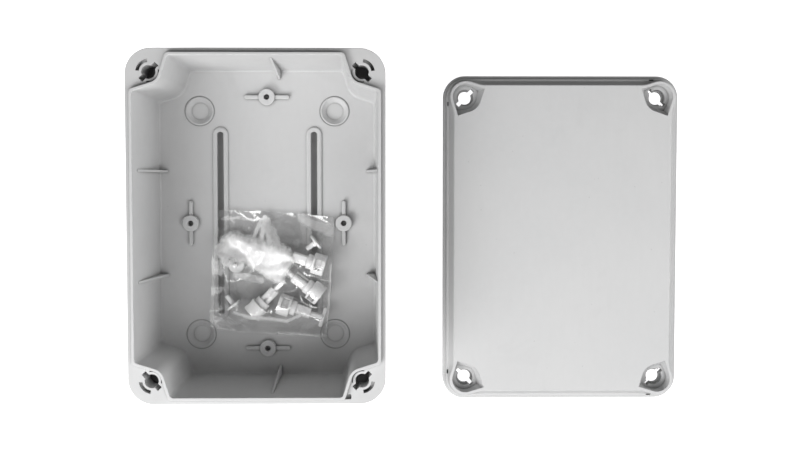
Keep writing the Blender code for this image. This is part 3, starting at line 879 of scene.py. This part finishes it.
def soften(shape, width):
    """Rounds a shape's sharp edges a little, as a moulding's edges are."""
    bevel = shape.modifiers.new("bevel", "BEVEL")
    bevel.width = width * MM
    bevel.segments = 2
    bevel.limit_method = "ANGLE"
    bevel.angle_limit = math.radians(40)
    return settled(shape)


def heading(bearing):
    angle = math.radians(bearing)
    return Vector((math.cos(angle), math.sin(angle), 0.0))


def fastener_place(place, bearing, roll):
    """Moves a shape that stands on its T end at the origin to where a fastener lies."""
    way = heading(bearing)
    tip = Vector((*place, AXIS_HEIGHT)) + way * (DRUM_START + FASTENER_LENGTH) / 2
    turn = (-way).to_track_quat("Z", "Y").to_matrix() @ Matrix.Rotation(math.radians(roll), 3, "Z")
    return Matrix.Translation(tip * MM) @ turn.to_4x4()


def turning_rooms():
    """The space that each fastener sweeps as it turns: helpers that keep the film clear of them."""
    length, width, depth = T_BAR
    sweep = math.hypot(length, width) / 2
    shank = SHANK_WIDTH * SHANK_SWEEP
    profile = (
        (sweep, 0.0),
        (sweep, depth),
        (shank, SHANK_START),
        (shank, HUB_START),
        (DRUM_RADIUS, DRUM_START),
        (DRUM_RADIUS, FASTENER_LENGTH),
    )
    rooms = []
    for place, bearing, roll in FASTENERS:
        room = add_object("turning_room", turned(profile, steps=32))
        room.data.transform(fastener_place(place, bearing, roll))
        rooms.append(room)
    return rooms


def make_fasteners(material):
    """The lid's four fasteners, lying in the bag."""
    pattern = soften(fastener_mesh(), 0.22)
    mesh = pattern.data
    bpy.data.objects.remove(pattern)
    fasteners = []
    for number, (place, bearing, roll) in enumerate(FASTENERS, 1):
        node = f"lid_fastener_{number}"
        fastener = link_object(node + "_moulding", mesh.copy())
        fastener.data.transform(fastener_place(place, bearing, roll))
        fasteners.append(finish_piece(fastener, material, node, [node]))
    return fasteners


def plug_solid():
    """A thin round head with a stem that closes a screw hole."""
    stem = PLUG_STEM_RADIUS
    profile = (
        (PLUG_RADIUS - 0.5, 0.0),
        (PLUG_RADIUS - 0.15, 0.12),
        (PLUG_RADIUS, 0.5),
        (PLUG_RADIUS, PLUG_HEAD - 0.3),
        (PLUG_RADIUS - 0.3, PLUG_HEAD),
        (stem + 0.6, PLUG_HEAD),
        (stem, PLUG_HEAD + 0.6),
        (stem, PLUG_LENGTH - 1),
        (stem - 0.25, PLUG_LENGTH - 0.4),
        (stem - 0.7, PLUG_LENGTH),
    )
    return turned(profile, steps=40)


def make_plugs(material):
    plugs = []
    for number, (place, bearing, on_side) in enumerate(PLUGS, 1):
        node = f"hole_plug_{number}"
        plug = add_object(node + "_moulding", plug_solid())
        lift = PLUG_FOOT
        turn = Matrix.Identity(4)
        if on_side:
            turn = heading(bearing).to_track_quat("Z", "Y").to_matrix().to_4x4()
            lift += PLUG_RADIUS
        plug.data.transform(Matrix.Translation(Vector((*place, lift)) * MM) @ turn)
        plugs.append(finish_piece(plug, material, "polybag", [node]))
    return plugs


# ---- bag

BAG_TURN = math.radians(-3.5)
BAG_CENTRE = (BAG_LOW + BAG_HIGH) / 2
BAG_HALF = (58.0, 60.0)
FILM_SHARE = 0.985  # how much of that the film takes up, so that its wavy edges stay inside
BAG_STEP = 1.25  # distance between the film's points
FILM_THICK = 0.08
WELD = 4.0  # width of the flat welded edge
SLACK_RUN = 9.0  # how far in from the weld the film is free to lift
REST = 0.25  # how far the film lies above what it rests on

# Folds of the upper film, in the bag's own axes: both ends of the crest, its height, and how wide its
# flanks are on the left and on the right of the way from the first end to the second
FOLDS = (
    ((-40, 33), (12, 12), 11, 11, 24),
    ((-22, 27), (-13, 53), 5, 5, 4),
    ((-14, 26), (-10, 54), 5, 4, 4),
    ((-2, 22), (-9, 52), 4.5, 5, 4),
    ((10, 14), (-4, 50), 4, 7, 5),
    ((-34, 30), (-26, 45), 3, 4, 4),
    ((-44, 14), (-6, 3), 5, 8, 11),
    ((-40, -3), (-12, -10), 3.5, 6, 8),
    ((22, 56), (55, 47), 5, 3.5, 8),
    ((30, 50), (50, 40), 3.5, 4, 6),
    ((42, 54), (56, 18), 4.5, 3, 4),
    ((54, 34), (57, 8), 3, 2.5, 2.5),
    ((54, 6), (53, -50), 2.2, 2, 3),
    ((-54, 34), (-48, 4), 3.4, 3, 4),
    ((-55, 8), (-49, -44), 2.6, 2.5, 4),
    ((-50, 52), (-20, 55), 2, 2, 3),
    ((-8, 55), (16, 54), 2, 2, 4),
    ((-47, -40), (-52, -56), 2, 2, 2),
    ((-36, -42), (6, -52), 2.6, 4, 3.5),
    ((6, -52), (36, -50), 2.6, 4, 3.5),
    ((36, -50), (54, -28), 2.6, 3.5, 3.5),
    ((20, -54), (50, -57), 1.6, 2, 2),
)
TENT_SLOPE = 0.6  # how steeply the film falls away from what holds it up

# Where the film is milky from fine creases, and where milky patches stand in for the lamps' reflections as
# painted sheen, in the bag's own axes: both ends of the patch, how wide it is and how milky
MILK_AND_SHEEN = (
    ((-38, 24), (8, 14), 15, 1),
    ((-18, 12), (6, 1), 10, 0.9),
    ((-22, 27), (-14, 50), 2.5, 0.45),
    ((-13, 26), (-10, 53), 3, 0.55),
    ((-2, 24), (-8, 50), 3.5, 0.45),
    ((14, 12), (-4, 42), 5, 0.35),
    ((-34, -4), (-10, -7), 4, 0.35),
    ((-52, 22), (-44, 8), 5, 0.45),
    ((26, 54), (54, 44), 6, 0.4),
    ((-56, 40), (-54, -54), 2, 0.22),
    ((57, 12), (56.5, -57), 2, 0.22),
    ((-33, -39), (-23, -41), 2, 0.4),
    ((-23, -41), (17, -44), 2.2, 0.5),
    ((17, -44), (29, -38), 2, 0.4),
    ((10, -57), (56, -58), 2, 0.3),
)


def bag_turned(x, y):
    """A point of the bag's own axes, in the frame's."""
    cos = math.cos(BAG_TURN)
    sin = math.sin(BAG_TURN)
    return BAG_CENTRE.x + x * cos - y * sin, BAG_CENTRE.y + x * sin + y * cos


def tops_of(things, places, start, foot):
    """Height of the things' upper side at each place, seen from start, or foot where there is none."""
    trees = []
    for thing in things:
        points = [vertex.co / MM for vertex in thing.data.vertices]
        trees.append(BVHTree.FromPolygons(points, [face.vertices for face in thing.data.polygons]))
    down = Vector((0, 0, -1))
    tops = []
    for x, y in places:
        hits = [tree.ray_cast(Vector((x, y, start)), down)[0] for tree in trees]
        tops.append(max([hit.z + REST for hit in hits if hit is not None], default=foot))
    return tops


def beside(x, y, first, last):
    """How far along a line a point is, how far from it, and whether it lies on the line's left."""
    along = Vector(last) - Vector(first)
    here = Vector((x, y)) - Vector(first)
    t = min(max(here.dot(along) / along.length_squared, 0.0), 1.0)
    return t, (here - along * t).length, along.cross(here) > 0


def fold_height(x, y):
    """How far the folds lift the upper film at a point of the bag's own axes."""
    lift = 0.0
    for first, last, height, left, right in FOLDS:
        t, distance, on_left = beside(x, y, first, last)
        bend = 0.22 * noise.noise(Vector((x * 0.11, y * 0.11, first[0])))
        crest = max(0.0, 1 - distance / (left if on_left else right) + bend)
        lift = max(lift, height * min(crest, 1.0) * math.sin(math.pi * (0.15 + 0.7 * t)))
    return lift


def milk_and_sheen_at(x, y):
    """How milky the film is at a point of the bag's own axes, partly from fine creases and partly as painted
    sheen where the lamps' reflections fall.
    """
    most = 0.0
    for first, last, width, amount in MILK_AND_SHEEN:
        distance = beside(x, y, first, last)[1]
        bend = 0.45 * noise.noise(Vector((x * 0.13, y * 0.13, width)))
        bend += 0.3 * noise.noise(Vector((x * 0.4, y * 0.4, width)))
        most = max(most, amount * min(max(2.2 - 2.2 * distance / width + bend, 0.0), 1.0))
    return most


def edge_distance(x, y):
    """How far a point of the bag's own axes lies in from the welded edges, or from the open upper one."""
    half_x, half_y = BAG_HALF
    return min(half_x - abs(x), y + half_y, (half_y - y) * 1.5 + 2.5)


def crumple(x, y, seed):
    """Small creases between flat facets."""
    total = 0.0
    for size, depth in ((19.0, 1.6), (8.0, 0.6)):
        near = noise.voronoi(Vector((x / size, y / size, seed)))[0]
        total += depth * (near[1] - near[0])
    return total


def film_grid():
    """Rows of the bag's own (x, y) points, with rounded corners and slightly wavy edges."""
    half_x, half_y = BAG_HALF
    count_x = round(2 * half_x / BAG_STEP)
    count_y = round(2 * half_y / BAG_STEP)
    grid = []
    for j in range(count_y + 1):
        v = 2 * j / count_y - 1
        row = []
        for i in range(count_x + 1):
            u = 2 * i / count_x - 1
            pull_x = 1.2 * noise.noise(Vector((v * 3.1, 7.0, 0.0)))
            pull_y = 1.2 * noise.noise(Vector((u * 3.1, 3.0, 0.0)))
            corner = 1 - 0.03 * (u * u) * (v * v)
            x = half_x * u * corner * FILM_SHARE - abs(u) * pull_x
            y = half_y * v * corner * FILM_SHARE - abs(v) * pull_y
            row.append((x, y))
        grid.append(row)
    return grid


def tented(floor):
    """A sheet that touches the floor heights and falls away from them no steeper than it can."""
    sheet = np.pad(floor, 1, mode="edge")
    for _ in range(round((floor.max() - floor.min()) / (TENT_SLOPE * BAG_STEP)) + 1):
        for down, right in ((0, 1), (0, -1), (1, 0), (-1, 0), (1, 1), (1, -1), (-1, 1), (-1, -1)):
            fall = TENT_SLOPE * BAG_STEP * math.hypot(down, right)
            sheet = np.maximum(sheet, np.roll(sheet, (down, right), (0, 1)) - fall)
    return sheet[1:-1, 1:-1]


def smoothed(sheet, rounds):
    for _ in range(rounds):
        wide = np.pad(sheet, 1, mode="edge")
        sheet = (wide[:-2, 1:-1] + wide[2:, 1:-1] + wide[1:-1, :-2] + wide[1:-1, 2:] + 2 * sheet) / 6
    return sheet


def make_bag(material, contents):
    """Two films, welded along three edges and open at the upper one, over and under the contents."""
    grid = film_grid()
    own = [point for row in grid for point in row]
    places = [bag_turned(x, y) for x, y in own]

    def on_grid(values):
        return np.array(values).reshape(len(grid), len(grid[0]))

    def over_grid(measure):
        return on_grid([measure(x, y) for x, y in own])

    ceiling = BAG_HIGH.z - 0.5
    foot = BAG_LOW.z + 0.3
    rooms = turning_rooms()
    floor = on_grid(tops_of(contents + rooms, places, ceiling + 30, foot))
    for room in rooms:
        bpy.data.objects.remove(room)
    slack = np.clip((over_grid(edge_distance) - WELD * 0.5) / SLACK_RUN, 0.0, 1.0)
    folds = smoothed(over_grid(fold_height), 2)
    small = over_grid(lambda x, y: crumple(x, y, 1.3))
    upper = np.maximum(tented(floor), foot + folds * np.clip(slack + 0.35, 0, 1))
    upper = smoothed(upper, 2) + small * (0.15 + 0.85 * slack)
    upper = smoothed(np.minimum(np.maximum(upper, floor), ceiling), 1)
    lower = foot - 0.2 + 0.1 * over_grid(lambda x, y: crumple(x, y, 5.1)) * slack
    # milky where creased, with painted sheen in patches where the lamps' reflections fall
    milk_and_sheen = [milk_and_sheen_at(x, y) for x, y in own]
    film_sheet("polybag_upper_film", places, upper, milk_and_sheen, material, ["polybag"])
    film_sheet("polybag_lower_film", places, lower, [0.0] * len(own), material, [])


def film_sheet(name, places, heights, milk_and_sheen, material, nodes):
    rows, columns = heights.shape
    points = [(x, y, z) for (x, y), z in zip(places, heights.ravel())]
    faces = []
    for j in range(rows - 1):
        for i in range(columns - 1):
            a = j * columns + i
            faces.append([a, a + 1, a + columns + 1, a + columns])
    sheet = add_object(name, (points, faces))
    sheet.data.attributes.new("milk_and_sheen", "FLOAT", "POINT").data.foreach_set("value", milk_and_sheen)
    thick = sheet.modifiers.new("film", "SOLIDIFY")
    thick.thickness = FILM_THICK * MM
    thick.offset = 0.0
    finish_piece(sheet, material, "polybag", nodes, sharp=70)


# ---- materials

PAINTED_SHADE_REACH = 0.0032  # how far the painted crease shade reaches out of a crease, in metres


class Nodes:
    """Short calls for building a material's nodes."""

    def __init__(self, name):
        self.material = bpy.data.materials.new(name)
        self.material.use_nodes = True
        self.tree = self.material.node_tree
        self.shader = self.tree.nodes["Principled BSDF"]
        self.place = self.tree.nodes.new("ShaderNodeTexCoord").outputs["Object"]

    def feed(self, socket, value):
        """Links another node's output to a socket, or sets the socket to a value."""
        if isinstance(value, bpy.types.NodeSocket):
            self.tree.links.new(value, socket)
        else:
            socket.default_value = value

    def add(self, kind, inputs=None, **settings):
        """A new shader node, with what goes into its inputs and its other settings."""
        node = self.tree.nodes.new("ShaderNode" + kind)
        for key, value in settings.items():
            setattr(node, key, value)
        for key, value in (inputs or {}).items():
            self.feed(node.inputs[key], value)
        return node

    def stretched(self, scale):
        return self.add("Mapping", {"Scale": scale, "Vector": self.place}).outputs["Vector"]

    def noise(self, scale, detail=4.0, rough=0.5, vector=None, distortion=0.0):
        inputs = {"Scale": scale, "Detail": detail, "Roughness": rough, "Distortion": distortion}
        inputs["Vector"] = vector or self.place
        return self.add("TexNoise", inputs).outputs["Fac"]

    def cells(self, scale):
        """Distance from the nearest of many scattered points."""
        return self.add("TexVoronoi", {"Scale": scale, "Vector": self.place}).outputs["Distance"]

    def spread(self, value, low, high, to_low=0.0, to_high=1.0):
        """Maps a value's range onto another, held at both ends."""
        inputs = {"Value": value, "From Min": low, "From Max": high, "To Min": to_low, "To Max": to_high}
        return self.add("MapRange", inputs).outputs["Result"]

    def maths(self, operation, a, b):
        return self.add("Math", {0: a, 1: b}, operation=operation).outputs["Value"]

    def times(self, a, b):
        return self.maths("MULTIPLY", a, b)

    def painted_crease_shade(self, strength):
        """Painted shade: how much darkening a point gets, from how deep it lies in a crease."""
        node = self.add("AmbientOcclusion", {"Distance": PAINTED_SHADE_REACH}, samples=6, only_local=True)
        return self.spread(node.outputs["AO"], 0.35, 0.9, strength, 0.0)

    def mix(self, fac, a, b):
        """A colour between a and b."""
        return self.add("Mix", {"Factor": fac, 6: a, 7: b}, data_type="RGBA").outputs[2]

    def mix_shaders(self, fac, a, b):
        return self.add("MixShader", {0: fac, 1: a, 2: b}).outputs["Shader"]

    def bump(self, height, strength, distance, below=None):
        inputs = {"Height": height, "Strength": strength, "Distance": distance}
        if below is not None:
            inputs["Normal"] = below
        return self.add("Bump", inputs).outputs["Normal"]

    def set(self, socket, value):
        self.feed(self.shader.inputs[socket], value)


def grey(level, tint=0.0):
    return (level * (1 - tint), level, level * (1 + tint), 1.0)


def moulded_shell(name, level):
    """Light grey thermoplastic: spark-eroded grain, faint flow marks, smudges, specks and scuffs, with
    painted shade darkening its creases and hollows.
    """
    nodes = Nodes(name)
    cloud = nodes.noise(9.0, 3.0)
    mottle = nodes.noise(160.0, 5.0, 0.6)
    flow = nodes.noise(26.0, 4.0, 0.55, nodes.stretched((6.0, 1.0, 0.25)), 0.6)
    smudge = nodes.spread(nodes.noise(21.0, 6.0, 0.62, None, 0.8), 0.56, 0.72)
    speck = nodes.spread(nodes.cells(70.0), 0.018, 0.05, 1.0, 0.0)
    streak = nodes.noise(46.0, 2.0, 0.5, nodes.stretched((1.0, 34.0, 9.0)))
    scuff = nodes.spread(streak, 0.735, 0.77)
    cloud = nodes.spread(cloud, 0.35, 0.65)
    colour = nodes.mix(cloud, grey(level * 0.975, 0.004), grey(level * 1.015))
    layers = (
        (nodes.spread(mottle, 0.3, 0.7, 0.0, 0.35), 1.05),
        (nodes.spread(flow, 0.42, 0.7, 0.0, 0.22), 0.97),
        (nodes.times(smudge, 0.22), 0.86),
        (nodes.times(speck, 0.5), 0.6),
        (nodes.times(scuff, 0.4), 1.16),
        # painted shade: darker in creases and hollows, where shade falls
        (nodes.painted_crease_shade(0.75), 0.3),
    )
    for amount, shade in layers:
        colour = nodes.mix(amount, colour, grey(level * shade))
    nodes.set("Base Color", colour)
    rough = nodes.spread(nodes.noise(55.0, 5.0, 0.6), 0.3, 0.7, 0.44, 0.58)
    rough = nodes.maths("SUBTRACT", rough, nodes.times(smudge, 0.08))
    nodes.set("Roughness", nodes.maths("ADD", rough, nodes.times(scuff, 0.12)))
    nodes.set("Specular IOR Level", 0.38)
    grain = nodes.noise(2600.0, 2.0, 0.6)
    coarse = nodes.bump(nodes.noise(34.0, 2.0), 0.05, 0.0006)
    nodes.set("Normal", nodes.bump(grain, 0.16, 0.0001, coarse))
    return nodes.material


def moulded_nylon():
    """Whiter, slightly glossy plastic of the small mouldings, with faint sink marks and painted shade in its
    creases.
    """
    nodes = Nodes("small_mouldings_nylon")
    cloud = nodes.noise(120.0, 4.0)
    colour = nodes.mix(nodes.spread(cloud, 0.3, 0.7), grey(0.93, -0.004), grey(0.97))
    speck = nodes.spread(nodes.cells(260.0), 0.02, 0.05, 1.0, 0.0)
    colour = nodes.mix(nodes.times(speck, 0.3), colour, grey(0.55))
    # painted shade: darker in creases, where shade falls
    nodes.set("Base Color", nodes.mix(nodes.painted_crease_shade(0.6), colour, grey(0.35)))
    nodes.set("Roughness", nodes.spread(nodes.noise(300.0, 4.0), 0.3, 0.7, 0.28, 0.42))
    nodes.set("Subsurface Weight", 0.08)
    nodes.set("Subsurface Radius", (0.001, 0.001, 0.001))
    sink = nodes.bump(nodes.noise(190.0, 2.0), 0.2, 0.0005)
    nodes.set("Normal", nodes.bump(nodes.noise(3000.0, 2.0), 0.08, 0.0001, sink))
    return nodes.material


def seal_foam():
    """Dark closed-cell foam."""
    nodes = Nodes("seal_foam")
    cells = nodes.cells(1400.0)
    nodes.set("Base Color", nodes.mix(cells, grey(0.03), grey(0.075)))
    nodes.set("Roughness", nodes.spread(cells, 0.0, 1.0, 0.75, 0.95))
    nodes.set("Normal", nodes.bump(cells, 0.6, 0.0004))
    return nodes.material


def clear_film():
    """Thin polythene: clear and glossy, milkier where it is creased most and in patches of painted sheen that
    stand in for the lamps' reflections.
    """
    nodes = Nodes("clear_film")
    ripple = nodes.bump(nodes.noise(140.0, 3.0, 0.5, None, 1.0), 0.3, 0.0008)
    # partly milky creases, partly painted sheen standing in for the lamps' reflections
    milk_and_sheen_mask = nodes.add("Attribute", attribute_name="milk_and_sheen").outputs["Fac"]
    streaks = nodes.spread(nodes.noise(90.0, 5.0, 0.65, None, 1.5), 0.3, 0.7, 0.75, 1.0)
    haze = nodes.spread(nodes.noise(26.0, 4.0, 0.6, None, 1.0), 0.48, 0.74, 0.01, 0.12)
    milk_and_sheen = nodes.maths("ADD", nodes.times(milk_and_sheen_mask, streaks), haze)
    nodes.set("Base Color", nodes.mix(nodes.noise(40.0, 3.0), grey(0.95), grey(1.0)))
    nodes.set("Roughness", nodes.spread(nodes.noise(120.0, 4.0), 0.3, 0.7, 0.3, 0.45))
    nodes.set("Normal", ripple)
    clear = nodes.add("BsdfTransparent").outputs["BSDF"]
    gloss = nodes.add("BsdfGlossy", {"Roughness": 0.11, "Normal": ripple}).outputs["BSDF"]
    slant = nodes.add("LayerWeight").outputs["Facing"]
    shine = nodes.maths("ADD", nodes.times(nodes.maths("POWER", slant, 3.0), 0.3), 0.055)
    body = nodes.mix_shaders(milk_and_sheen, clear, nodes.shader.outputs["BSDF"])
    surface = nodes.mix_shaders(shine, body, gloss)
    output = next(node for node in nodes.tree.nodes if node.type == "OUTPUT_MATERIAL")
    nodes.feed(output.inputs["Surface"], surface)
    return nodes.material


def floor_paper():
    """A very bright white table."""
    nodes = Nodes("white_table")
    nodes.set("Base Color", nodes.mix(nodes.noise(4.0, 2.0), grey(0.93), grey(0.95)))
    nodes.set("Roughness", 0.9)
    nodes.set("Emission Color", (1.0, 1.0, 1.0, 1.0))
    nodes.set("Emission Strength", FLOOR_GLOW)
    return nodes.material


# ---- studio

FLOOR_GLOW = 1.0
FLOOR_DROP = 0.3  # how far the table lies below what stands on it
TABLE_SIZE = 6000.0
SENSOR = 36.0
LENS = 46.25
CAMERA_PLACE = (113.7, 41.7, 1006.4)
CAMERA_TILT = (-2.57, -0.81, 0.0)  # degrees

# Soft boxes: name, bearing from the middle, height above the table (both degrees), power
SOFT_BOXES = (
    ("south_west", -135, 35, 18.4),
    ("high_south_west", -135, 58, 4.6),
    ("low_east", 0, 15, 10.7),
    ("south_east", -45, 35, 4.4),
    ("high_south_east", -45, 58, 5.1),
)
SOFT_BOX_SIZE = (1.0, 0.6)  # metres
LIGHT_DISTANCE = 1.5
SKY = 0.1


def add_camera():
    data = bpy.data.cameras.new("camera")
    data.sensor_width = SENSOR
    data.lens = LENS
    camera = link_object("camera", data)
    camera.location = Vector(CAMERA_PLACE) * MM
    camera.rotation_euler = [math.radians(angle) for angle in CAMERA_TILT]
    bpy.context.scene.camera = camera


def add_soft_box(name, bearing, height, power, middle):
    data = bpy.data.lights.new(name, "AREA")
    data.shape = "RECTANGLE"
    data.size, data.size_y = SOFT_BOX_SIZE
    data.energy = power
    light = link_object(name, data)
    flat = heading(bearing) * math.cos(math.radians(height))
    way = Vector((flat.x, flat.y, math.sin(math.radians(height))))
    light.location = middle + way * LIGHT_DISTANCE
    light.rotation_euler = way.to_track_quat("Z", "Y").to_euler()


def add_table():
    half = TABLE_SIZE / 2
    points = [(x * half, y * half, -FLOOR_DROP) for x, y in ((-1, -1), (1, -1), (1, 1), (-1, 1))]
    table = add_object("table", (points, [[0, 1, 2, 3]]))
    table.data.materials.append(floor_paper())
    table.visible_diffuse = False
    table.visible_glossy = False


def add_studio():
    low, high = (Vector(corner) for corner in CAD_BOX)
    middle = (low + high) / 2
    add_camera()
    for soft_box in SOFT_BOXES:
        add_soft_box(*soft_box, middle)
    add_table()
    world = bpy.data.worlds.new("studio")
    world.use_nodes = True
    background = world.node_tree.nodes["Background"]
    background.inputs["Color"].default_value = (1.0, 1.0, 1.0, 1.0)
    background.inputs["Strength"].default_value = SKY
    bpy.context.scene.world = world
    bpy.context.scene.view_settings.view_transform = "Standard"


# ---- the whole scene


def main():
    add_studio()
    shell = moulded_shell("shell_thermoplastic", 0.60)
    nylon = moulded_nylon()
    make_base(shell)
    make_lid(shell)
    contents = make_fasteners(nylon) + make_plugs(nylon)
    make_bag(clear_film(), contents)
    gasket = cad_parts["lid_gasket"]
    gasket.data.materials.clear()
    gasket.data.materials.append(seal_foam())


main()
